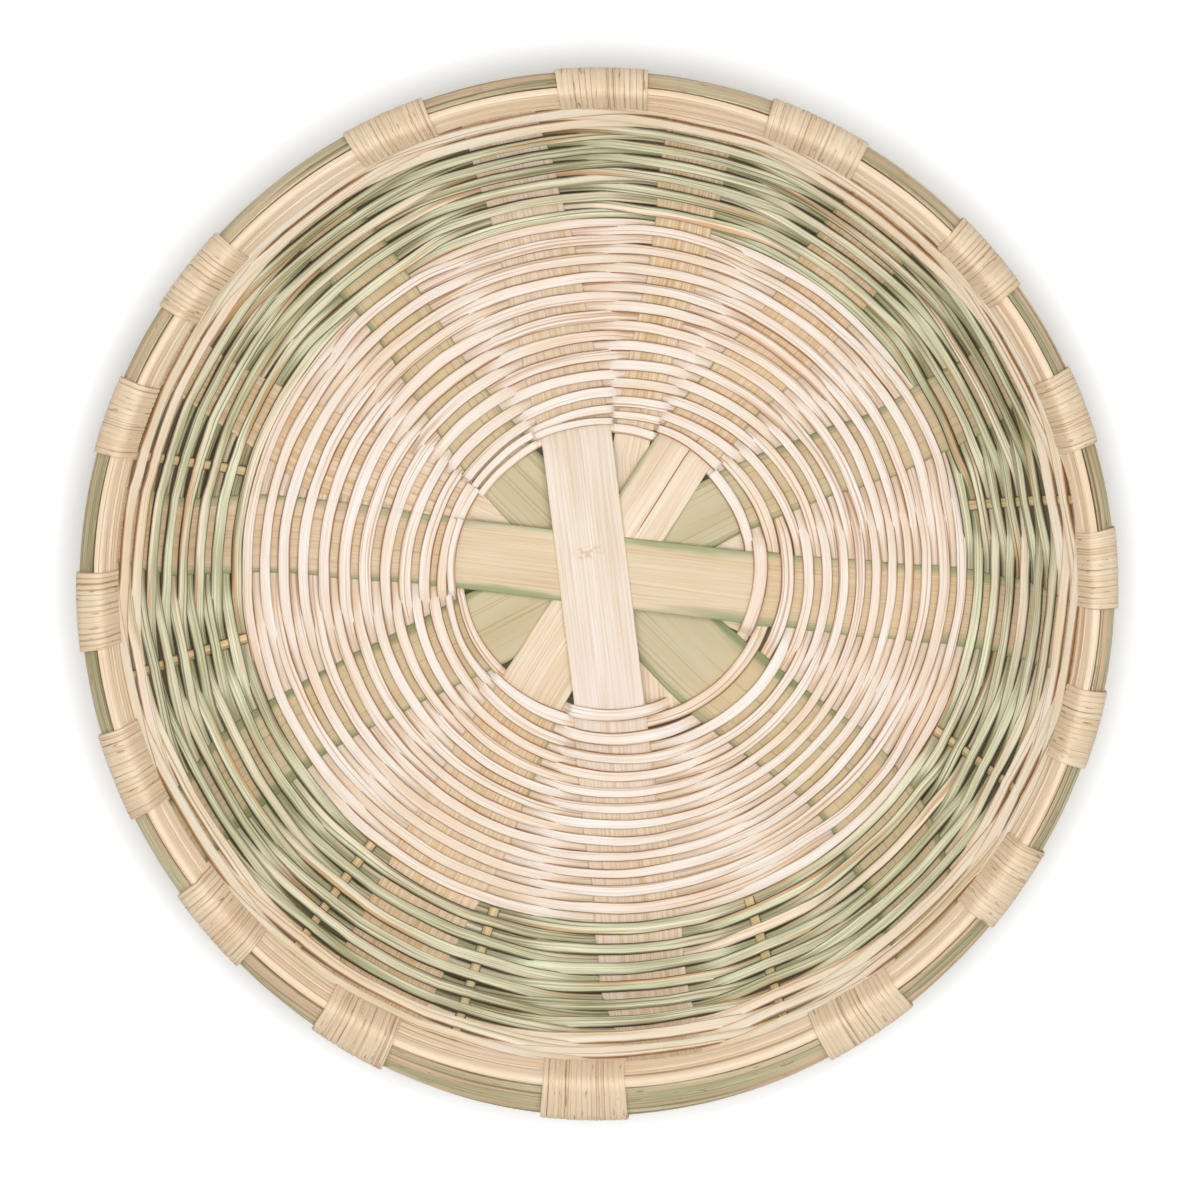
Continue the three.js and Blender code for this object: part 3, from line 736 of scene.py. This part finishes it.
def add_strand(name, units, first, last, arc_at, seed, hue, material, width, tilt):
    """One woven strand as a flat band of split cane that tilts where it passes its neighbours."""
    angles, offsets, between, sides = strand_path(units, first, last, arc_at)
    arcs = arc_at((angles - FIRST_ANGLE) / 360)
    lengths = path_lengths(place(arcs, angles, offsets))
    pitch = arc_at((angles - FIRST_ANGLE) / 360 + 1) - arcs
    shift = squeeze(arcs, angles) + spread_to_rim(arcs, angles)
    arcs = arcs + shift + change(ROW_CHANGE, lengths, seed)
    spread = np.clip(pitch / BASE_PITCH, *SPREAD_LIMITS) if arc_at is base_arc else 1.0
    half = width / 2 * spread * (1 + change(WIDTH_CHANGE, lengths, seed + 1))
    thick = STRAND_THICKNESS / 2 * (1 + change(THICKNESS_CHANGE, lengths, seed + 2))
    slope = profile(arcs)[2]
    half = half * (1 + OUTSIDE_WIDER * np.maximum(0, -sides) * smoothstep(*STEEP_FROM, slope))
    lean = OUTSIDE_LEAN - LEAN_LOST_INSIDE * smoothstep(*INSIDE_FROM, sides)
    roll = -np.radians(tilt) * between - lean * slope + change(TWIST_CHANGE, lengths, seed + 3)
    arcs = arcs - OUTSIDE_LOWER * slope * (1 - between) * (sides < 0)
    offsets = offsets + sides * half * np.abs(np.sin(roll)) * ROLL_ROOM * (1 - between)
    x = STRAND_SECTION[None, :, 0] * half[:, None]
    y = STRAND_SECTION[None, :, 1] * thick[:, None]
    turned_x = x * np.cos(roll)[:, None] - y * np.sin(roll)[:, None]
    turned_y = x * np.sin(roll)[:, None] + y * np.cos(roll)[:, None]
    rings = place(arcs[:, None] + turned_x, angles[:, None], offsets[:, None] + turned_y)
    rings[..., 2] = np.maximum(rings[..., 2], 0)
    along = np.repeat(lengths[:, None], len(STRAND_SECTION), axis=1)
    grain = np.stack([along * MM + seed * STRAND_GRAIN_SHIFT, x * MM, y * MM], axis=-1)
    tone = MIDDLE_TONE + change(LONG_TONE_CHANGE, along, seed + 4)
    tone = tone + change(SHORT_TONE_CHANGE, along, seed + 5)
    # painted shade on the parts of the strand that pass under the spokes
    tone = tone + UNDER_PAINTED_SHADE * np.maximum(0, -sides)[:, None]
    second = np.clip(hue + change(HUE_CHANGE, along, seed + 6), 0, 1)
    # nearness to the edge, which the strand materials darken as painted shade
    rim = np.repeat(np.abs(STRAND_SECTION[None, :, 0]), len(angles), axis=0)
    vary = np.stack([np.clip(tone, 0, 1), second, rim], axis=-1)
    add_piece(name, rings, grain, vary, material)


def add_strands(name, units, splits, arc_at, seed, hue, material, width, tilt):
    """Strands of one kind, one after the other. width is in millimetres and tilt in degrees."""
    for count, (first, last) in enumerate(zip(splits, splits[1:]), start=1):
        add_strand(
            f"{name}_{count}", units, first, last, arc_at, seed + 20 * count, hue, material,
            width, tilt,
        )


add_strands(
    "base_weaver", BASE_UNITS, BASE_SPLITS, base_arc, seed=100, hue=0.35,
    material=PALE_STRAND, width=3.5, tilt=10,
)
add_strands(
    "wall_weaver", WALL_UNITS, WALL_SPLITS, wall_arc, seed=300, hue=0.45,
    material=GREEN_STRAND, width=4.0, tilt=4,
)
add_strands(
    "border_weaver", WALL_UNITS, BORDER_SPLITS, wall_arc, seed=600, hue=0.4,
    material=BORDER_STRAND, width=4.3, tilt=4,
)

# Thin stakes stand in the wall only, from just below the first row that passes them
STAKE_BELOW_ROW = 1.2
LEAST_RING_GAP = 0.6
FIRST_STAKE_SEED = 30
for stake_seed, (side_name, stake) in enumerate(STAKES.items(), start=FIRST_STAKE_SEED):
    start_arc = wall_arc((stake["angles"][0] - FIRST_ANGLE) / 360) - STAKE_BELOW_ROW
    stops = spoke_arcs(stake)
    stops = np.concatenate([[start_arc], stops[stops > start_arc + LEAST_RING_GAP]])
    stake_rings, stake_across = spoke_rings(stake, stops, TWIG_SECTION, stake_seed)
    spoke_piece(
        f"thin_stake_{side_name}", stake_rings, stake_across, ring=0, reach=BASE_RADIUS,
        seed=stake_seed, hue=0.45, material=TWIG, section=TWIG_SECTION,
    )

# Rim: sections are given as height along the wall above its woven part, and offset inward
HOOP_FACE = HALF_SLAT + 0.6
INNER_LIMIT = HOOP_FACE + 1.8
STRIP_GAP = 0.35
STRIP_HEIGHT = (RIM_BAND - STRIP_GAP) / 2
ROUNDING = RIM_BAND * 0.2
HOOP_STEPS = 360
OUTER_THICKNESS = 6.2
LAP_THICKER = 1.05
LAP_NARROWS = 4
GROOVE_HALF_WIDTH = 0.42
# Sway of a hoop out of its plain circle, which fades to nothing over the seam of its mesh
HOOP_SWAY = 0.12
SWAYS = 9
SEAM_RUN = 40
HOOP_TONE = 0.45
HOOP_TONE_CHANGE = (0.3, 260)
HOOP_HUE_CHANGE = (0.4, 200)
HOOP_GRAIN_SHIFT = 3.3
# Offsets outward between which a grooved hoop darkens towards the wall behind it, painted shade of the
# gap between the hoops
BACK_PAINTED_SHADE = (-0.9, -0.45)


def outer_thickness(angle):
    """The ends of the outer hoop lap over each other at the front, where it is thickest."""
    front = np.maximum(0, -np.sin(np.radians(angle)))
    return OUTER_THICKNESS * (1 + LAP_THICKER * front ** LAP_NARROWS)


def rounded(corners, radii, bend_steps, edge_steps):
    """Closed outline through corners with each bend rounded off. corners is (rings, corner, 2)."""
    outline = []
    count = corners.shape[1]
    for index in range(count):
        here = corners[:, index]
        before = corners[:, index - 1] - here
        beyond = corners[:, (index + 1) % count]
        after = beyond - here
        into = here + before / np.linalg.norm(before, axis=1, keepdims=True) * radii[index]
        direction = after / np.linalg.norm(after, axis=1, keepdims=True)
        out = here + direction * radii[index]
        far = beyond - direction * radii[(index + 1) % count]
        for part in np.linspace(0, 1, bend_steps):
            outline.append((1 - part) ** 2 * into + 2 * part * (1 - part) * here + part ** 2 * out)
        for step in range(1, edge_steps + 1):
            part = step / (edge_steps + 1)
            outline.append(out * (1 - part) + far * part)
    return np.stack(outline, axis=1)


def add_hoop(name, corners_at, radii, groove, seed, hue, material):
    """A hoop round the rim. groove is the height and depth of a line split along its face."""
    angles = np.arange(HOOP_STEPS) * 360 / HOOP_STEPS
    outline = rounded(corners_at(angles), radii, bend_steps=4, edge_steps=7)
    lengths = np.radians(angles) * RIM_RADIUS
    height = outline[..., 0]
    line, depth = groove
    notch = depth * np.exp(-((height - line) / GROOVE_HALF_WIDTH) ** 2)
    middle = outline[..., 1].mean(axis=1, keepdims=True)
    offset = outline[..., 1] - notch * np.sign(outline[..., 1] - middle)
    round_rim = 2 * math.pi * RIM_RADIUS
    seam = smoothstep(0, SEAM_RUN, np.minimum(lengths, round_rim - lengths))
    sway = HOOP_SWAY * seam * waver(lengths, round_rim / SWAYS, seed)
    rings = place(WALL_END + height, angles[:, None], offset + sway[:, None])
    along = np.repeat(lengths[:, None], outline.shape[1], axis=1)
    grain = np.stack([along * MM + seed * HOOP_GRAIN_SHIFT, height * MM, offset * MM], axis=-1)
    tone = np.clip(HOOP_TONE + change(HOOP_TONE_CHANGE, along, seed + 1), 0, 1)
    second = np.clip(hue + change(HOOP_HUE_CHANGE, along, seed + 2), 0, 1)
    outermost = outline[..., 1].min(axis=1, keepdims=True)
    rim = outline[..., 1] / outermost
    # the edge colour marks the groove line and, as painted shade, the back of the strip towards the
    # wall
    if depth:
        rim = np.maximum(notch / depth, smoothstep(*BACK_PAINTED_SHADE, -offset))
    vary = np.stack([tone, second, rim], axis=-1)
    add_piece(name, rings, grain, vary, material, is_loop=True)


def strip_corners(bottom, foot_face, top_face):
    """Corners of an inner strip. Its outer face has one offset at its foot and one at its top."""
    corners = np.array([
        (bottom, foot_face), (bottom + STRIP_HEIGHT, top_face),
        (bottom + STRIP_HEIGHT, INNER_LIMIT), (bottom, INNER_LIMIT),
    ])
    return lambda angles: np.repeat(corners[None], len(angles), axis=0)


def section_at(heights, sides):
    """Corners at every angle from heights and from arrays of offsets."""
    return np.stack([
        np.stack([np.full_like(side, height), side], axis=-1) for height, side in zip(heights, sides)
    ], axis=1)


def outer_corners(angles):
    outer = -HOOP_FACE - outer_thickness(angles)
    foot, top = np.full_like(outer, -0.6), np.full_like(outer, -0.2)
    return section_at((0.0, RIM_BAND, RIM_BAND - ROUNDING, ROUNDING), (foot, top, outer, outer))


add_hoop(
    "inner_hoop_lower", strip_corners(0.0, 0.6, 0.6), radii=(0.5, 0.5, 0.9, 0.9),
    groove=(STRIP_HEIGHT * 0.52, 0.1), seed=70, hue=0.4, material=INNER_HOOP,
)
add_hoop(
    "inner_hoop_upper", strip_corners(STRIP_HEIGHT + STRIP_GAP, 0.6, 0.2), radii=(0.5, 0.4, 1.6, 0.9),
    groove=(STRIP_HEIGHT * 1.45, 0.08), seed=74, hue=0.5, material=INNER_HOOP,
)
add_hoop(
    "outer_hoop", outer_corners, radii=(1.0, 0.5, 2.8, 2.8),
    groove=(0.0, 0.0), seed=78, hue=0.8, material=OUTER_HOOP,
)

# Rim bindings: middle angle and number of turns of each
BINDINGS = [
    (2.5, 14), (21, 14), (40.8, 15), (64.5, 18), (89.5, 16), (114.2, 15), (141.6, 16), (160, 14),
    (182.3, 14), (201.3, 16), (221.2, 16), (241.4, 14), (268.6, 15), (301.7, 17), (324.3, 16),
    (344.2, 14),
]
CANE_PITCH = 1.85
CANE_WIDTH = 1.98
CANE_THICKNESS = 0.55
CANE_SECTION = np.array([
    (1.0, -0.3), (0.86, 0.5), (0.45, 0.95), (0.0, 1.0), (-0.45, 0.95), (-0.86, 0.5), (-1.0, -0.3),
    (-0.7, -1.0), (0.7, -1.0),
])
# Each turn has a bend and one step beyond it at each of four corners
TURN_RADII = (1.7, 4.0, 4.2, 2.4)
BEND_STEPS = 5
STEPS_PER_TURN = len(TURN_RADII) * (BEND_STEPS + 1)
# How the turns of a binding differ: shift along the rim as a share of a turn, lift, and tone
TURN_SHIFT = 0.08
TURN_LIFT = (-0.04, 0.08)
TURN_TONE = (0.15, 0.85)
CANE_WIDTH_CHANGE = (0.06, 60)
CANE_STEP = 1.6
CANE_HUE = 0.5
CANE_GRAIN_SHIFT = 0.7
CANE_ROOM = 0.4


def turn_corners(angles):
    """Corners that the middle of the cane bends round, at each angle."""
    inner = np.full_like(angles, INNER_LIMIT + CANE_ROOM)
    outer = -HOOP_FACE - outer_thickness(angles) - CANE_ROOM
    heights = (-0.7, RIM_BAND + 1.0, RIM_BAND, ROUNDING * 0.1)
    return section_at(heights, (inner, inner + 0.3, outer, outer))


def add_binding(name, middle, turns, seed):
    """A flat cane wound side by side round both hoops."""
    rng = np.random.default_rng(seed)
    steps = np.arange(turns * STEPS_PER_TURN + 1)
    turn = steps / STEPS_PER_TURN
    ends = np.arange(turns + 1)
    slide = turn - turns / 2 + np.interp(turn, ends, rng.normal(0, TURN_SHIFT, turns + 1))
    angles = middle + np.degrees(slide * CANE_PITCH / RIM_RADIUS)
    outline = rounded(turn_corners(angles), TURN_RADII, BEND_STEPS, edge_steps=1)
    where = steps % STEPS_PER_TURN
    centre = outline[steps, where]
    ahead = outline[steps, (where + 1) % STEPS_PER_TURN] - outline[steps, where - 1]
    normal = np.stack([ahead[:, 1], -ahead[:, 0]], axis=-1)
    normal /= np.linalg.norm(normal, axis=1, keepdims=True)
    facing = np.einsum("ij,ij->i", normal, centre - outline.mean(axis=1))
    normal *= np.sign(facing)[:, None]
    raised = np.interp(turn, ends, rng.uniform(*TURN_LIFT, turns + 1))
    half = CANE_WIDTH / 2 * (1 + change(CANE_WIDTH_CHANGE, steps * CANE_STEP, seed + 1))
    x = CANE_SECTION[None, :, 0] * half[:, None]
    y = CANE_SECTION[None, :, 1] * CANE_THICKNESS / 2 + raised[:, None]
    rings = place(
        WALL_END + centre[:, None, 0] + normal[:, None, 0] * y,
        angles[:, None] + np.degrees(x / RIM_RADIUS),
        centre[:, None, 1] + normal[:, None, 1] * y,
    )
    lengths = path_lengths(rings.mean(axis=1))
    along = np.repeat(lengths[:, None], len(CANE_SECTION), axis=1)
    grain = np.stack([along * MM + seed * CANE_GRAIN_SHIFT, x * MM, y * MM], axis=-1)
    tones = np.interp(turn, ends, rng.uniform(*TURN_TONE, turns + 1))
    tone = np.repeat(tones[:, None], len(CANE_SECTION), axis=1)
    rim = np.repeat(np.abs(CANE_SECTION[None, :, 0]), len(steps), axis=0)
    vary = np.stack([tone, np.full_like(tone, CANE_HUE), rim], axis=-1)
    add_piece(name, rings, grain, vary, BINDING)


for order, (middle_angle, turn_count) in enumerate(BINDINGS, start=1):
    add_binding(f"rim_binding_{order:02d}", middle_angle, turn_count, 900 + 10 * order)


# Stage: a white floor with painted shade, a brown patch under the basket, which shows through the gaps
# in the weave
FLOOR_HALF = 4
FLOOR_HEIGHT = -0.00005
# Radii and colour of the painted shade under the basket
PAINTED_SHADE_RADII = (0.157, 0.178)
PAINTED_SHADE_COLOUR = (0.3, 0.25, 0.18, 1)
FLOOR_COLOUR = (0.9, 0.9, 0.9, 1)
GLOW_RADII = (0.165, 0.195)
FLOOR_GLOW = 0.5
WHITE = (1, 1, 1, 1)


def add_floor():
    """A floor just below the basket with painted shade under it, which glows for the rays that show the
    background.
    """
    mesh = bpy.data.meshes.new("floor")
    signs = ((-1, -1), (1, -1), (1, 1), (-1, 1))
    corners = [(x * FLOOR_HALF, y * FLOOR_HALF, FLOOR_HEIGHT) for x, y in signs]
    mesh.from_pydata(corners, [], [(0, 1, 2, 3)])
    nodes = Nodes("floor")
    reach = nodes.tree.nodes.new("ShaderNodeVectorMath")
    reach.operation = "LENGTH"
    nodes.link(nodes.tree.nodes.new("ShaderNodeNewGeometry").outputs["Position"], reach.inputs[0])
    distance = reach.outputs["Value"]
    # painted shade: the floor's colour turns dark brown under the basket
    shade = nodes.mix(nodes.remap(distance, *PAINTED_SHADE_RADII), PAINTED_SHADE_COLOUR, FLOOR_COLOUR)
    nodes.link(shade, nodes.shader.inputs["Base Color"])
    outside = nodes.remap(distance, *GLOW_RADII, 0.0, FLOOR_GLOW)
    glow = nodes.math("MULTIPLY", shown_background(nodes.tree), outside)
    nodes.link(glow, nodes.shader.inputs["Emission Strength"])
    nodes.shader.inputs["Emission Color"].default_value = WHITE
    nodes.shader.inputs["Roughness"].default_value = 1.0
    nodes.shader.inputs["Specular IOR Level"].default_value = 0.0
    mesh.materials.append(nodes.material)
    floor = bpy.data.objects.new("floor", mesh)
    bpy.context.scene.collection.objects.link(floor)


def add_light(name, location, size, power):
    """A round soft light aimed at the basket."""
    data = bpy.data.lights.new(name, "AREA")
    data.shape = "DISK"
    data.size = size
    data.energy = power
    light = bpy.data.objects.new(name, data)
    bpy.context.scene.collection.objects.link(light)
    light.location = location
    light.rotation_euler = (-Vector(location)).to_track_quat("-Z", "Y").to_euler()
    light.visible_camera = False


add_floor()
# A ring of soft lights, with the azimuth and power of each, and a small one overhead
RING_LIGHTS = ((54, 6.2), (126, 5.5), (198, 4.8), (270, 5.0), (342, 5.6))
RING_RADIUS = 1.32
RING_HEIGHT = 1.88
for azimuth, power in RING_LIGHTS:
    bearing = math.radians(azimuth)
    spot = (RING_RADIUS * math.cos(bearing), RING_RADIUS * math.sin(bearing), RING_HEIGHT)
    add_light(f"softbox_{azimuth}", spot, size=0.9, power=power)
add_light("softbox_above", (0.0, 0.0, 0.5), size=0.3, power=0.9)

# The sky is a dome overhead that fades towards the floor, and a plain white background
SKY_FADE = (("From Min", 0.2), ("From Max", 0.8), ("To Min", 0.18), ("To Max", 0.38))
world = bpy.data.worlds.new("studio")
world.use_nodes = True
sky = world.node_tree
direction = sky.nodes.new("ShaderNodeTexCoord").outputs["Generated"]
height = sky.nodes.new("ShaderNodeSeparateXYZ")
fade = sky.nodes.new("ShaderNodeMapRange")
fade.interpolation_type = "SMOOTHSTEP"
for key, number in SKY_FADE:
    fade.inputs[key].default_value = number
sky.links.new(direction, height.inputs[0])
sky.links.new(height.outputs["Z"], fade.inputs["Value"])
strength = sky.nodes.new("ShaderNodeMath")
strength.operation = "MAXIMUM"
sky.links.new(fade.outputs["Result"], strength.inputs[0])
sky.links.new(shown_background(sky), strength.inputs[1])
sky.links.new(strength.outputs["Value"], sky.nodes["Background"].inputs["Strength"])
sky.nodes["Background"].inputs["Color"].default_value = WHITE
scene = bpy.context.scene
scene.world = world
scene.view_settings.view_transform = "Standard"

# The camera at the photograph's angle, tilted a little from straight above, aimed at one point
TILT = math.radians(4.5)
DISTANCE = 1.5
AIM_X, AIM_Y, AIM_Z = 0.001, -0.0001, 0.05
camera_data = bpy.data.cameras.new("camera")
camera_data.sensor_width = 36.0
camera_data.lens = 135.0
camera_data.clip_start = 0.05
camera_data.clip_end = 50.0
camera = bpy.data.objects.new("camera", camera_data)
scene.collection.objects.link(camera)
camera.location = (AIM_X, DISTANCE * math.sin(TILT) + AIM_Y, AIM_Z + DISTANCE * math.cos(TILT))
camera.rotation_euler = (-TILT, 0.0, 0.0)
scene.camera = camera
